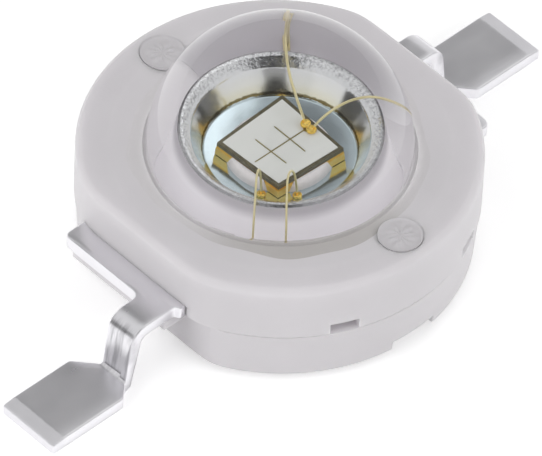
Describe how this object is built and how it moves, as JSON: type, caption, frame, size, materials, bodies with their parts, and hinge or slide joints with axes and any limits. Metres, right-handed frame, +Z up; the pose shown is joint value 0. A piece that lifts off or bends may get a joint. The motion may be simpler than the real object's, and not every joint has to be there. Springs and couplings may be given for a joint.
{
  "type": "high-power LED",
  "caption": "Round surface-mount light-emitting diode with a clear dome lens, reflector cup, metal heat slug and gull-wing leads.",
  "frame": {"origin": "centre of the body in plan, on the board plane that the heat slug's base and both lead feet stand on", "axes": "+Z up from the board through the lens; X along the two leads, +X towards the cathode lead; Y across, through the two fill ports"},
  "size_m": [0.0144, 0.008, 0.0052],
  "materials": {
    "white_ppa": "moulded white PPA, fine satin",
    "silver_plated_copper": "copper, silver plated, polished cup",
    "silver_plated_strip": "stamped copper strip, silver plated, brushed",
    "clear_lens": "clear moulded optical plastic",
    "clear_silicone": "clear cured silicone",
    "silver_paste": "cured silver-filled paste",
    "gold_plating": "gold-plated metal submount",
    "die_side": "diced wafer, dark sawn sides",
    "die_top": "roughened light-emitting layer",
    "gold_metal": "evaporated gold lines and pad",
    "gold_wire": "drawn gold bond wire"
  },
  "bodies": {
    "root": {"housing": "white_ppa", "heat_slug": "silver_plated_copper", "lead_cathode": "silver_plated_strip", "lead_anode": "silver_plated_strip", "lens": "clear_lens", "silicone_gel": "clear_silicone", "silicone_bead": "clear_silicone", "port_plug_1": "clear_silicone", "port_plug_2": "clear_silicone", "die_attach": "silver_paste", "submount": "gold_plating", "die_carrier": "die_side", "die_epi": "die_top", "die_electrode": "gold_metal", "bond_wire_1": "gold_wire", "bond_wire_2": "gold_wire", "bond_wire_3": "gold_wire", "bond_wire_4": "gold_wire"}
  },
  "joints": []
}
